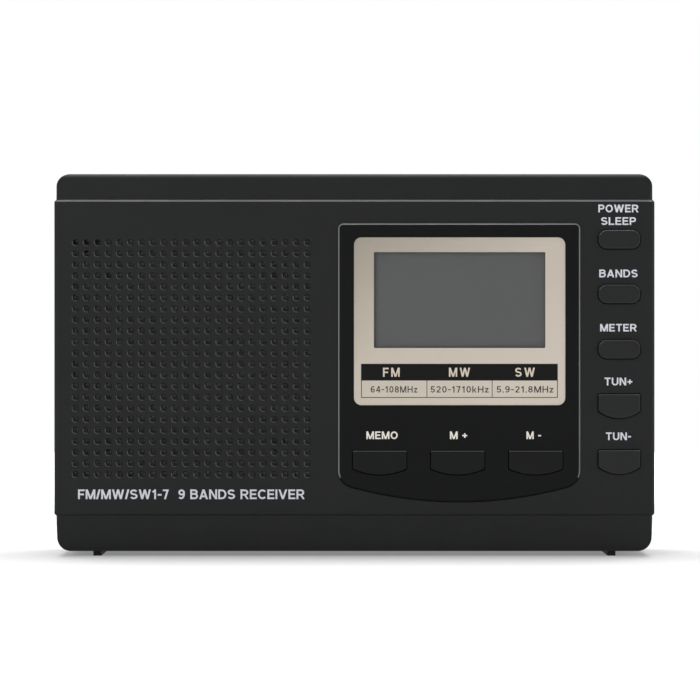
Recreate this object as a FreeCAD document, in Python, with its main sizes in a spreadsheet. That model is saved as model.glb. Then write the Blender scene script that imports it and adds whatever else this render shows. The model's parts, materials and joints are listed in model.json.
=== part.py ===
import FreeCAD, Part

# Pocket shortwave receiver: a case in two parts with its display, keys, speaker, boards, cells, stand and
# whip aerial. Millimetres: +X is the user's right, -Y is the front and +Z is up. The origin is on the
# table, under the middle of the case. The driving dimensions are cells of the "Sizes" sheet, and a Size
# carries each of them, or a sum made from them, into an object's own expression.

import math
import os
import Sketcher
from FreeCAD import Rotation, Vector

doc = FreeCAD.newDocument("receiver")
sheet = doc.addObject("Spreadsheet::Sheet", "Sizes")
PARTS = []


class Size:
    """A length that keeps both its value and the sheet expression that gives it."""

    def __init__(self, value, text):
        self.value = float(value)
        self.text = text

    def __add__(self, other):
        other = lift(other)
        return Size(self.value + other.value, f"({self.text} + {other.text})")

    def __sub__(self, other):
        other = lift(other)
        return Size(self.value - other.value, f"({self.text} - {other.text})")

    def __mul__(self, other):
        other = lift(other)
        return Size(self.value * other.value, f"({self.text} * {other.text})")

    def __truediv__(self, other):
        other = lift(other)
        return Size(self.value / other.value, f"({self.text} / {other.text})")

    def __radd__(self, other):
        return lift(other) + self

    def __rsub__(self, other):
        return lift(other) - self

    def __rmul__(self, other):
        return lift(other) * self

    def __neg__(self):
        return Size(-self.value, f"(0 - {self.text})")


def lift(value):
    """A Size for a plain number, or the Size itself."""
    return value if isinstance(value, Size) else Size(value, f"({float(value):.6g})")


def cell(alias, value):
    """A new row of the sheet, as a Size."""
    row = len(sheet.getUsedCells()) // 2 + 1
    sheet.set(f"A{row}", alias)
    sheet.set(f"B{row}", str(value))
    sheet.setAlias(f"B{row}", alias)
    return Size(value, f"Sizes.{alias}")


# ---------------------------------------------------------------- driving dimensions
case_w = cell("case_width", 135.2)
case_h = cell("case_height", 85.65)
foot_h = cell("foot_height", 1.1)
corner = cell("corner_radius", 3.2)
wall = cell("wall", 1.8)
face_w = cell("face_width", 136.0)
face_low = cell("face_bottom", 9.3)
face_high = cell("face_top", 80.8)
face_y = cell("face_plane", -12.8)
face_wall = cell("face_wall", 2.2)
band_y = cell("band_plane", -12.35)
band_draft = cell("band_draft", 0.35)
split_y = cell("split_plane", -1.0)
back_y = cell("back_plane", 13.5)
gap = cell("fit_gap", 0.2)

foot_x = cell("foot_centre", 58.5)
foot_w = cell("foot_width", 1.8)

grille_x = cell("grille_centre_x", -36.9)
grille_z = cell("grille_centre_z", 44.9)
grille_pitch = cell("grille_pitch", 2.5)
grille_side = cell("grille_holes_a_side", 22)
grille_hole = cell("grille_hole_radius", 0.62)
grille_rim = cell("grille_rim_bevel", 0.2)

bezel_left = cell("bezel_left", -3.7)
bezel_right = cell("bezel_right", 51.1)
bezel_top = cell("bezel_top", 75.45)
bezel_side_low = cell("bezel_side_bottom", 16.6)
bezel_sag = cell("bezel_bottom_sag", 4.2)
bezel_proud = cell("bezel_proud", 0.4)
bezel_seat = cell("bezel_seat_depth", 1.0)

dial_x = cell("dial_centre_x", 23.8)
dial_z = cell("dial_centre_z", 53.3)
dial_w = cell("dial_width", 47.8)
dial_h = cell("dial_height", 37.95)
dial_thick = cell("dial_thickness", 0.45)
window_z = cell("window_centre_z", 58.1)
window_w = cell("window_width", 38.8)
window_h = cell("window_height", 21.7)

key_proud_y = cell("key_top_plane", -13.5)
key_travel = cell("key_travel", 0.5)
side_key_x = cell("side_key_x", 59.9)
side_key_w = cell("side_key_width", 9.5)
pill_h = cell("pill_key_height", 4.3)
tab_h = cell("tab_key_height", 5.5)
memory_key_w = cell("memory_key_width", 12.2)
tab_sag = {"side_tab": cell("side_tab_sag", 1.7), "memory_tab": cell("memory_tab_sag", 1.35)}
key_corner = {
    "pill": cell("pill_corner_radius", 1.95),
    "side_tab": cell("side_tab_corner", 0.35),
    "memory_tab": cell("memory_tab_corner", 0.35),
}
key_edge = cell("key_edge_radius", 0.35)
key_gap = cell("key_gap", 0.15)

board_y = cell("board_front", -5.6)
board_thick = cell("board_thickness", 1.6)

cell_r = cell("battery_radius", 7.1)
cell_length = cell("battery_length", 50.0)
bay_left = cell("bay_left", -5.8)
bay_right = cell("bay_right", 54.4)
bay_low = cell("bay_bottom", 6.6)
bay_high = cell("bay_top", 36.8)
bay_floor_y = cell("bay_floor", -2.5)
bay_wall = cell("bay_wall", 1.2)
door_thick = cell("door_thickness", 1.4)

shelf_y = cell("aerial_shelf_plane", 6.5)
shelf_z = cell("aerial_shelf_height", 77.5)
mast_x = cell("aerial_pivot_x", 60.0)
mast_y = cell("aerial_pivot_y", 10.0)
mast_z = cell("aerial_pivot_z", 82.3)
turret_r = cell("aerial_turret_radius", 3.2)
tube_r = cell("aerial_tube_radius", 2.8)
tube_step = cell("aerial_tube_step", 0.55)
tube_skin = cell("aerial_tube_skin", 0.5)
tube_length = cell("aerial_tube_length", 106.0)

wheel_x = cell("volume_wheel_x", 59.0)
wheel_z = cell("volume_wheel_z", 56.0)
wheel_r = cell("volume_wheel_radius", 8.9)

stand_left = cell("stand_left", -52.0)
stand_right = cell("stand_right", -20.0)
stand_low = cell("stand_bottom", 14.0)
stand_pivot_y = cell("stand_pivot_y", 12.2)
stand_pivot_z = cell("stand_pivot_z", 54.5)

case_top = foot_h + case_h
case_half = case_w / 2
face_half = face_w / 2
inner_half = case_half - wall
inner_y = face_y + face_wall
bezel_front = face_y - bezel_proud
bezel_back = face_y + bezel_seat
board_back = board_y + board_thick
ledge_y = back_y - door_thick

# X and Z of the screws, Z of the door's tongues and of the hold switch, Y and Z of the two sockets
CASE_SCREWS = [(-61.0, 8.0), (61.0, 8.0), (-61.0, 72.0), (50.5, 72.0)]
BOARD_SCREWS = [(-5.4, 41.0), (-5.4, 79.5), (51.5, 41.0)]
TONGUES = (14.0, 29.4)
HOLD_Z = 58.0
PHONES = (5.1, 30.0)
SUPPLY = (6.3, 18.0)

# name, shape, centre x, centre z
KEYS = [
    ("power", "pill", side_key_x, cell("power_key_z", 71.8)),
    ("band", "pill", side_key_x, cell("band_key_z", 59.45)),
    ("meter", "pill", side_key_x, cell("meter_key_z", 46.95)),
    ("tune_up", "side_tab", side_key_x, cell("tune_up_key_z", 34.05)),
    ("tune_down", "side_tab", side_key_x, cell("tune_down_key_z", 21.4)),
    ("memory", "memory_tab", cell("memory_key_x", 5.7), cell("memory_row_z", 21.3)),
    ("memory_up", "memory_tab", cell("memory_up_key_x", 23.35), cell("memory_up_key_z", 21.3)),
    ("memory_down", "memory_tab", cell("memory_down_key_x", 41.0), cell("memory_down_key_z", 21.3)),
]


# ---------------------------------------------------------------- building blocks
def bind(obj, **sizes):
    """Binds properties to sheet expressions; a double underscore in a name stands for a dot."""
    for name, size in sizes.items():
        obj.setExpression(name.replace("__", "."), lift(size).text)
    return obj


def place(obj, x, y, z, rotation=None):
    """Puts an object at a bound position, turned by a fixed rotation."""
    x, y, z = lift(x), lift(y), lift(z)
    obj.Placement = FreeCAD.Placement(Vector(x.value, y.value, z.value), rotation or Rotation())
    return bind(obj, Placement__Base__x=x, Placement__Base__y=y, Placement__Base__z=z)


def box(x, y, z):
    """A box between bound pairs of X, Y and Z."""
    made = doc.addObject("Part::Box", "Block")
    bind(made, Length=lift(x[1]) - x[0], Width=lift(y[1]) - y[0], Height=lift(z[1]) - z[0])
    return place(made, x[0], y[0], z[0])


# The rotation that takes +Z, a cylinder's own axis, to each axis, and the one that takes +Y, a turned
# body's own axis, to it.
FROM_Z = {"X": Rotation(Vector(0, 1, 0), 90), "Y": Rotation(Vector(1, 0, 0), -90), "Z": Rotation()}
FROM_Y = {"X": Rotation(Vector(0, 0, 1), -90), "Y": Rotation(), "Z": Rotation(Vector(1, 0, 0), 90)}


def round_bar(axis, x, y, z, radius, length):
    """A cylinder that starts at a bound point and runs along an axis."""
    made = doc.addObject("Part::Cylinder", "Bar")
    bind(made, Radius=radius, Height=length)
    return place(made, x, y, z, FROM_Z[axis])


def joined(kind, pieces):
    """A boolean object of that kind over several pieces."""
    made = doc.addObject(kind, "Joined")
    made.Shapes = list(pieces)
    return made


def fuse(*pieces):
    return joined("Part::MultiFuse", pieces)


def common(*pieces):
    return joined("Part::MultiCommon", pieces)


def cut(base, *tools):
    """base less every tool."""
    made = doc.addObject("Part::Cut", "Cut")
    made.Base = base
    made.Tool = tools[0] if len(tools) == 1 else fuse(*tools)
    return made


def draw(body, role, points):
    """A closed sketch on one of the body's origin planes, each corner bound to the sheet.

    A corner may carry a third value: the sag of an arc to the next corner, bulging downwards when the
    corners run from right to left.
    """
    sketch = body.newObject("Sketcher::SketchObject", "Sketch")
    plane = [f for f in body.Origin.OriginFeatures if f.Role == role][0]
    sketch.AttachmentSupport = [(plane, "")]
    sketch.MapMode = "FlatFace"
    corners = [(lift(p[0]), lift(p[1]), p[2] if len(p) > 2 else None) for p in points]
    count = len(corners)
    arcs = []
    for i, (u, v, sag) in enumerate(corners):
        nu, nv, _ = corners[(i + 1) % count]
        start, end = Vector(u.value, v.value, 0), Vector(nu.value, nv.value, 0)
        if sag is None:
            sketch.addGeometry(Part.LineSegment(start, end))
            continue
        # a sketch holds its arcs counter-clockwise, so this one runs back from the next corner
        middle = (start + end) * 0.5 - Vector(0, sag.value, 0)
        sketch.addGeometry(Part.Arc(end, middle, start))
        half = (u - nu) / 2
        arcs.append((i, (half * half + sag * sag) / (2 * sag)))
    first = [1 if sag is None else 2 for _, _, sag in corners]
    for i in range(count):
        after = (i + 1) % count
        sketch.addConstraint(Sketcher.Constraint("Coincident", i, 3 - first[i], after, first[after]))
    for i, (u, v, _) in enumerate(corners):
        for kind, size in (("DistanceX", u), ("DistanceY", v)):
            index = sketch.addConstraint(Sketcher.Constraint(kind, -1, 1, i, first[i], size.value))
            sketch.setExpression(f"Constraints[{index}]", size.text)
    for i, radius in arcs:
        index = sketch.addConstraint(Sketcher.Constraint("Radius", i, radius.value))
        sketch.setExpression(f"Constraints[{index}]", radius.text)
    return sketch


# plane: (its role, the sign of its normal along the extrusion axis, the axis)
PLANES = {"X": ("YZ_Plane", 1), "Y": ("XZ_Plane", -1), "Z": ("XY_Plane", 1)}


def prism(axis, points, start, end):
    """A body padded along an axis between two bound stations."""
    role, sign = PLANES[axis]
    body = doc.addObject("PartDesign::Body", "Prism")
    sketch = draw(body, role, points)
    bind(sketch, AttachmentOffset__Base__z=lift(start) * sign)
    pad = body.newObject("PartDesign::Pad", "Pad")
    pad.Profile = sketch
    pad.Reversed = sign < 0
    bind(pad, Length=lift(end) - start)
    doc.recompute()
    return body


def turned(axis, points, x, y, z):
    """A body turned about an axis through a bound point; each corner is (radius, station)."""
    body = doc.addObject("PartDesign::Body", "Turned")
    sketch = draw(body, "XY_Plane", points)
    turn = body.newObject("PartDesign::Revolution", "Revolution")
    turn.Profile = sketch
    turn.ReferenceAxis = (sketch, ["V_Axis"])
    turn.Angle = 360
    place(body, x, y, z, FROM_Y[axis])
    doc.recompute()
    return body


def dressed(body, kind, size, chosen):
    """A fillet or chamfer on the chosen edges of the body's last feature."""
    tip = body.Tip
    names = [f"Edge{i + 1}" for i, edge in enumerate(tip.Shape.Edges) if chosen(edge)]
    made = body.newObject(f"PartDesign::{kind}", kind)
    made.Base = (tip, names)
    bind(made, **{"Radius" if kind == "Fillet" else "Size": size})
    doc.recompute()
    return body


def along(axis, *tests):
    """Picks straight edges along an axis whose middle passes every test."""
    unit = {"X": Vector(1, 0, 0), "Y": Vector(0, 1, 0), "Z": Vector(0, 0, 1)}[axis]

    def chosen(edge):
        if edge.Curve.TypeId != "Part::GeomLine":
            return False
        ends = edge.valueAt(edge.LastParameter) - edge.valueAt(edge.FirstParameter)
        middle = edge.CenterOfMass
        return ends.normalize().cross(unit).Length < 1e-6 and all(test(middle) for test in tests)

    return chosen


def on_plane(axis, value):
    """Picks edges that lie in the plane at that value of an axis."""
    index = "XYZ".index(axis)

    def chosen(edge):
        box_ = edge.BoundBox
        low = (box_.XMin, box_.YMin, box_.ZMin)[index]
        high = (box_.XMax, box_.YMax, box_.ZMax)[index]
        return abs(low - value) < 1e-4 and abs(high - value) < 1e-4

    return chosen


def rounded_plate(x, z, width, height, radius, start, end):
    """A plate that faces the front, with round corners."""
    left, low = x - width / 2, z - height / 2
    points = [(left, low), (left + width, low), (left + width, low + height), (left, low + height)]
    return dressed(prism("Y", points, start, end), "Fillet", radius, along("Y"))


def part(label, obj):
    """Names a finished sub-part, which gets a file of its own."""
    obj.Label = label
    PARTS.append(obj)
    return obj


def group(label, pieces):
    """Several like pieces as one node of separate solids."""
    made = doc.addObject("Part::Compound", "Group")
    made.Links = list(pieces)
    return part(label, made)


# ---------------------------------------------------------------- keys
def key_outline(kind, x, z, grow):
    """Corners of a key's outline, wider all round by grow."""
    width = memory_key_w if kind == "memory_tab" else side_key_w
    half = width / 2 + grow
    if kind == "pill":
        up = pill_h / 2 + grow
        return [(x - half, z - up), (x + half, z - up), (x + half, z + up), (x - half, z + up)]
    sag = tab_sag[kind]
    up, side = tab_h / 2 + grow, tab_h / 2 - sag + grow
    return [(x + half, z - side, sag), (x - half, z - side), (x - half, z + up), (x + half, z + up)]


def key_prism(kind, x, z, grow, start, end):
    """A key's outline, grown all round, run between two depths."""
    body = prism("Y", key_outline(kind, x, z, lift(grow)), start, end)
    return dressed(body, "Fillet", key_corner[kind] + grow, along("Y"))


def make_keys():
    """Eight keys, their switch plungers, and the switches on the board."""
    flange_y, stem_y, plunger_y = inner_y + 0.1, inner_y + 1.3, inner_y + 1.7
    switch_front = board_y - 2.5
    housings = []
    for name, kind, x, z in KEYS:
        cap = key_prism(kind, x, z, 0, key_proud_y, flange_y + 0.1)
        dressed(cap, "Fillet", key_edge, on_plane("Y", key_proud_y.value))
        flange = key_prism(kind, x, z, 0.95, flange_y, stem_y)
        stem = round_bar("Y", x, stem_y - 0.1, z, 1.6, plunger_y - stem_y + 0.1)
        part(f"{name}_button", fuse(cap, flange, stem))
        part(f"{name}_switch_plunger", round_bar("Y", x, plunger_y, z, 1.7, 2.3))
        body = box((x - 3, x + 3), (switch_front, board_y), (z - 3, z + 3))
        housings.append(cut(body, round_bar("Y", x, switch_front - 1, z, 1.85, 3.3)))
    group("key_switches", housings)


# ---------------------------------------------------------------- display
def bezel_prism(grow, start, end):
    """The display panel's outline, grown all round, run between two depths."""
    grow = lift(grow)
    points = [
        (bezel_right + grow, bezel_side_low - grow, bezel_sag),
        (bezel_left - grow, bezel_side_low - grow),
        (bezel_left - grow, bezel_top + grow),
        (bezel_right + grow, bezel_top + grow),
    ]
    body = prism("Y", points, start, end)
    low = (bezel_side_low + bezel_top).value / 2
    dressed(body, "Fillet", 4.0 + grow, along("Y", lambda p: p.z < low))
    return dressed(body, "Fillet", 1.2 + grow, along("Y", lambda p: p.z > low))


def make_display():
    """The dark display panel, the dial plate on it, and the liquid-crystal stack behind its window."""
    panel = bezel_prism(0, bezel_front, bezel_back)
    dressed(panel, "Chamfer", 0.32, on_plane("Y", bezel_front.value))
    seat_y = bezel_front + dial_thick + 0.15
    seat = rounded_plate(dial_x, dial_z, dial_w + 0.1, dial_h + 0.1, lift(1.75), bezel_front - 1, seat_y)
    before, behind = bezel_front - 1, bezel_back + 1
    hole = rounded_plate(dial_x, window_z, window_w + 2, window_h + 2, lift(0.5), before, behind)
    key_holes = [key_prism(kind, x, z, key_gap, before, behind) for _, kind, x, z in KEYS[5:]]
    part("display_bezel", cut(panel, seat, hole, *key_holes))

    plate = rounded_plate(dial_x, dial_z, dial_w, dial_h, lift(1.7), seat_y - dial_thick, seat_y)
    view = rounded_plate(dial_x, window_z, window_w, window_h, lift(0.3), before, bezel_back)
    flare = rounded_plate(dial_x, window_z, window_w + 1.0, window_h + 1.0, lift(0.4), before, seat_y)
    dressed(flare, "Chamfer", 0.45, on_plane("Y", seat_y.value))
    part("dial_plate", cut(plate, view, flare))

    lens_y = seat_y + 0.05
    lens = rounded_plate(dial_x, window_z, window_w + 1.8, window_h + 1.8, lift(0.4), lens_y, lens_y + 0.75)
    part("lcd_lens", lens)
    glass_y = bezel_back + 0.1
    glass_w, glass_h = window_w + 3.2, window_h + 2.9
    low = window_z - glass_h / 2
    glass_x = (dial_x - glass_w / 2, dial_x + glass_w / 2)
    part("lcd_glass", box(glass_x, (glass_y, glass_y + 2.4), (low, low + glass_h)))
    guide_y = glass_y + 2.5
    strip_x = (dial_x - 19.5, dial_x + 19.5)
    part("lcd_contact_strip", box(strip_x, (guide_y - 0.1, board_y), (low + 0.2, low + 1.7)))
    guide = box((dial_x - 20.4, dial_x + 20.4), (guide_y, guide_y + 2.6), (low + 2.0, low + glass_h - 0.3))
    part("lcd_light_guide", guide)
    outer = box((dial_x - 23.2, dial_x + 23.2), (guide_y, board_y), (low - 1.2, low + glass_h + 1.2))
    inner = box((dial_x - 20.6, dial_x + 20.6), (guide_y - 1, board_y + 1), (low, low + glass_h))
    part("lcd_frame", cut(outer, inner))


# ---------------------------------------------------------------- case
def screw_boss(x, z, start, end, radius):
    """A round post between two depths."""
    return round_bar("Y", x, start, z, radius, lift(end) - start)


def feet(start, end):
    """The two runners under the case, between two depths."""
    middles = (foot_x, -foot_x)
    return [box((x - foot_w / 2, x + foot_w / 2), (start, end), (0, foot_h + 0.6)) for x in middles]


def case_outline(start, end):
    """The case seen from the front, drawn in a little towards its foot."""
    foot_half = case_half - band_draft
    points = [
        (-foot_half, foot_h),
        (foot_half, foot_h),
        (case_half, face_low),
        (case_half, case_top),
        (-case_half, case_top),
        (-case_half, face_low),
    ]
    outer_corners = along("Y", lambda p: abs(p.z - face_low.value) > 1)
    return dressed(prism("Y", points, start, end), "Fillet", corner, outer_corners)


def grille_pins():
    """One bevelled pin for every hole of the grille, as a compound."""
    count, pitch = int(grille_side.value), grille_pitch.value
    radius, bevel = grille_hole.value, grille_rim.value
    start, inward = face_y.value, Vector(0, 1, 0)
    shank = Part.makeCylinder(radius, face_wall.value + 2, Vector(0, start - 1, 0), inward)
    rim = Part.makeCone(radius + 2 * bevel, radius, 2 * bevel, Vector(0, start - bevel, 0), inward)
    pin = shank.fuse(rim)
    first = -pitch * (count - 1) / 2
    pins = []
    for column in range(count):
        for row in range(count):
            x = grille_x.value + first + pitch * column
            z = grille_z.value + first + pitch * row
            pins.append(pin.translated(Vector(x, 0, z)))
    made = doc.addObject("Part::Feature", "GrillePins")
    made.Shape = Part.makeCompound(pins)
    return made


def make_front_cover():
    """The front cover: a raised face between two bands, with its holes, bosses and runners."""
    top_edge, foot_edge = case_top.value - 0.4, foot_h.value + 0.9
    front = (band_y + split_y).value / 2
    side_view = [
        (split_y, foot_h),
        (-11.3, foot_h),
        (band_y, face_low),
        (band_y, face_high),
        (-11.7, case_top),
        (split_y, case_top),
    ]
    profile = prism("X", side_view, -case_half, case_half)
    dressed(profile, "Fillet", 1.4, along("X", lambda p: p.y < front and not foot_edge < p.z < top_edge))
    plan_view = [(-case_half, band_y), (case_half, band_y), (case_half, split_y), (-case_half, split_y)]
    plan = prism("Z", plan_view, foot_h, case_top)
    dressed(plan, "Fillet", 1.2, along("Z", lambda p: p.y < front))
    block = common(profile, plan, case_outline(band_y - 1, split_y))

    face_view = [(-face_half, face_y), (face_half, face_y), (face_half, split_y), (-face_half, split_y)]
    face = prism("Z", face_view, face_low, face_high)
    dressed(face, "Fillet", 0.9, along("Z", lambda p: p.y < front))

    def face_rim(edge):
        level = on_plane("Z", face_low.value)(edge) or on_plane("Z", face_high.value)(edge)
        return level and edge.CenterOfMass.y < split_y.value - 0.1

    dressed(face, "Chamfer", 0.42, face_rim)

    room_view = [
        (split_y + 1, foot_h + wall),
        (-9.2, foot_h + wall),
        (-9.8, foot_h + wall + 0.7),
        (inner_y, face_low),
        (inner_y, face_high + 0.6),
        (-10.1, case_top - wall - 0.6),
        (-9.5, case_top - wall),
        (split_y + 1, case_top - wall),
    ]
    shell = cut(fuse(block, face), prism("X", room_view, -inner_half, inner_half))

    bosses = [screw_boss(x, z, inner_y - 0.5, 2.0, 2.8) for x, z in CASE_SCREWS]
    bosses += [screw_boss(x, z, inner_y - 0.5, board_y, 2.2) for x, z in BOARD_SCREWS]
    solid = fuse(shell, *bosses, *feet(lift(-9.5), split_y))

    before, behind = face_y - 1, inner_y + 1
    seat = bezel_prism(0.12, before, bezel_back)
    half_w, half_h = window_w / 2 + 1.8, window_h / 2 + 1.6
    window = box((dial_x - half_w, dial_x + half_w), (before, behind), (window_z - half_h, window_z + half_h))
    holes = [key_prism(kind, x, z, key_gap, before, behind) for _, kind, x, z in KEYS]
    bores = [round_bar("Y", x, -7.5, z, 1.3, 12) for x, z in CASE_SCREWS]
    bores += [round_bar("Y", x, -9.9, z, 0.85, 12) for x, z in BOARD_SCREWS]
    part("front_cover", cut(solid, seat, window, *holes, *bores, grille_pins()))


def rear_shell(start, inner_back):
    """The rear cover's outer walls, stepped in at the top for the aerial."""
    side_view = [
        (start, foot_h),
        (back_y, foot_h),
        (back_y, shelf_z),
        (shelf_y, shelf_z),
        (shelf_y, case_top),
        (start, case_top),
    ]
    profile = prism("X", side_view, -case_half, case_half)
    shelf_edge, top_edge = shelf_z.value - 1, case_top.value - 0.4
    dressed(profile, "Fillet", 3.0, along("X", lambda p: p.y > 13 and p.z < 2))
    dressed(profile, "Fillet", 1.2, along("X", lambda p: p.y > 13 and p.z > shelf_edge))
    dressed(profile, "Fillet", 1.2, along("X", lambda p: p.y > 6 and p.z > top_edge))
    plan_view = [(-case_half, start), (case_half, start), (case_half, back_y), (-case_half, back_y)]
    plan = prism("Z", plan_view, foot_h, case_top)
    dressed(plan, "Fillet", 3.0, along("Z", lambda p: p.y > 10))
    block = common(profile, plan, case_outline(start, back_y))
    room_view = [
        (start - 1, foot_h + wall),
        (inner_back, foot_h + wall),
        (inner_back, shelf_z - wall),
        (shelf_y - wall, shelf_z - wall),
        (shelf_y - wall, case_top - wall),
        (start - 1, case_top - wall),
    ]
    return cut(block, prism("X", room_view, -inner_half, inner_half))


def rear_lip(start):
    """The tongue round the joint that locates the rear cover inside the front one."""
    low, high = foot_h + wall, case_top - wall
    half = inner_half - 0.1
    tongue = box((-half, half), (start - 1.4, start + 1.2), (low + 0.1, high - 0.1))
    root = box((-inner_half - 0.4, inner_half + 0.4), (start, start + 1.2), (low - 0.4, high + 0.4))
    room = box((-half + 0.9, half - 0.9), (start - 2, start + 2), (low + 1.0, high - 1.0))
    return cut(fuse(tongue, root), room)


def make_rear_cover():
    """The rear cover with its battery bay, the stand's recess and the openings in its sides."""
    start, inner_back, behind = split_y + gap, back_y - wall, back_y + 1
    well_back = inner_back + 0.5
    well_x = (bay_left - bay_wall, bay_right + bay_wall)
    well = box(well_x, (bay_floor_y - bay_wall, well_back), (bay_low - bay_wall, bay_high + bay_wall))
    stand_floor = stand_pivot_y - 1.3
    stand_well = box(
        (stand_left - 1.8, stand_right + 1.8),
        (stand_floor - 1.4, well_back),
        (stand_low - 2.2, stand_pivot_z + 3.4),
    )
    bosses = [screw_boss(x, z, 2.2, well_back, 3.2) for x, z in CASE_SCREWS]
    runners = feet(start, lift(12.0))
    solid = fuse(rear_shell(start, inner_back), rear_lip(start), well, stand_well, *bosses, *runners)

    openings = [
        box((bay_left, bay_right), (bay_floor_y, behind), (bay_low, bay_high)),
        box((bay_left - 1.8, bay_right + 1.8), (ledge_y, behind), (bay_low - 1.8, bay_high + 1.8)),
    ]
    slot_x = (bay_left - 3.5, bay_left + 0.5)
    openings += [box(slot_x, (ledge_y - 1.8, ledge_y), (z - 2.4, z + 2.4)) for z in TONGUES]

    # the stand's seat, the dip that lets a finger under it, and the bore for its pin
    seat_x = (stand_left - 0.4, stand_right + 0.4)
    pin_length = stand_right - stand_left + 3.2
    openings += [
        box(seat_x, (stand_floor, behind), (stand_low - 0.8, stand_pivot_z + 2.0)),
        box((stand_left + 10, stand_right - 10), (back_y - 1.6, behind), (stand_low - 5, stand_low)),
        round_bar("X", stand_left - 1.6, stand_pivot_y, stand_pivot_z, 0.86, pin_length),
    ]

    # the volume wheel on the right, the hold knob and the sockets on the left, each with its dish
    right, left = case_half + 1, -case_half - 1
    reach = wheel_r + 0.5
    openings += [
        box((wheel_x, right), (0.7, 4.7), (wheel_z - reach, wheel_z + reach)),
        box((case_half - 0.8, right), (0.0, 5.6), (wheel_z - 12, wheel_z + 12)),
        box((left, -inner_half + 0.5), (1.9, 5.1), (HOLD_Z - 3.3, HOLD_Z + 3.3)),
        box((left, -case_half + 0.7), (0.9, 6.1), (HOLD_Z - 5.0, HOLD_Z + 5.0)),
        round_bar("X", left, *PHONES, 3.3, 4),
        round_bar("X", left, *SUPPLY, 4.1, 4),
    ]

    # the turret's bore with room for its screw, the case screws, and clearance for the front cover's boss
    openings += [
        round_bar("Z", mast_x, mast_y, shelf_z - wall - 1, 2.1, 4),
        round_bar("Z", mast_x, mast_y, shelf_z - wall - 5, 2.75, 5),
    ]
    openings += [round_bar("Y", x, 4.4, z, 2.6, 12) for x, z in CASE_SCREWS]
    openings += [round_bar("Y", x, 1.0, z, 1.45, 12) for x, z in CASE_SCREWS]
    openings.append(round_bar("Y", side_key_x - 9.4, -8, lift(72.0), 3.4, 9.9))
    part("rear_cover", cut(solid, *openings))


def crossed(screw, x, z, top, reach, depth):
    """A screw with a cross cut into its head from the back."""
    sides = ((reach, 0.22), (0.22, reach))
    arms = [box((x - a, x + a), (top - depth, lift(top) + 1), (z - b, z + b)) for a, b in sides]
    return cut(screw, *arms)


def make_screws(speaker_clamps):
    """The four case screws, and the board's screws with the speaker's clamps."""
    long_head = lift(6.4)
    long_screw = [
        (0, -6.5),
        (0.75, -6.5),
        (1.25, -5.5),
        (1.25, 4.4),
        (2.3, 4.4),
        (2.3, 5.6),
        (1.5, long_head),
        (0, long_head),
    ]
    case = [crossed(turned("Y", long_screw, x, 0, z), x, z, long_head, 1.3, 1.1) for x, z in CASE_SCREWS]
    group("case_screws", case)

    head = board_back + 1.3
    short_screw = [
        (0, -9.3),
        (0.8, -9.3),
        (0.8, board_back),
        (1.9, board_back),
        (1.9, board_back + 0.8),
        (1.2, head),
        (0, head),
    ]
    board = [crossed(turned("Y", short_screw, x, 0, z), x, z, head, 1.0, 0.7) for x, z in BOARD_SCREWS]
    group("board_and_speaker_screws", board + speaker_clamps)


def make_battery_door():
    """The battery door with its two tongues, thumb grips and the ribs that hold the cells down."""
    left, right = bay_left - 1.4, bay_right + 1.5
    low, high = bay_low - 1.5, bay_high + 1.5
    middle = (bay_low + bay_high) / 2
    plate = prism("Y", [(left, low), (right, low), (right, high), (left, high)], ledge_y, back_y)
    dressed(plate, "Fillet", 0.2, on_plane("Y", back_y.value))
    tongues = []
    for z in TONGUES:
        tongue = box((bay_left - 3.0, bay_left + 1.2), (ledge_y - 1.1, ledge_y + 0.1), (z - 2, z + 2))
        clear = box((bay_left - 4, left), (ledge_y - 0.2, back_y), (z - 3, z + 3))
        tongues.append(cut(tongue, clear))
    grips = []
    for i in range(3):
        x = right - 5.4 + 1.6 * i
        grips.append(box((x, x + 0.7), (back_y - 0.45, back_y + 1), (middle - 6, middle + 6)))
    ribs = []
    for z in (middle - 14.3, middle, middle + 14.3):
        ribs.append(box((bay_left + 8, bay_right - 4), (ledge_y - 0.3, ledge_y + 0.1), (z - 0.5, z + 0.5)))
    part("battery_door", cut(fuse(plate, *tongues, *ribs), *grips))


def coil_spring(radius, pitch, turns, wire):
    """A spring that stands on the XY plane and winds up along Z, in quarter turns."""
    steps = turns * 8
    points = []
    for i in range(steps + 1):
        angle = math.pi / 4 * i
        points.append(Vector(radius * math.cos(angle), radius * math.sin(angle), pitch * i / 8))
    path = [Part.Arc(*points[i:i + 3]).toShape() for i in range(0, steps, 2)]
    start = path[0].tangentAt(path[0].FirstParameter)
    ring = Part.Wire([Part.makeCircle(wire, points[0], start)])
    return Part.Wire(path).makePipeShell([ring], True, True)


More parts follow.
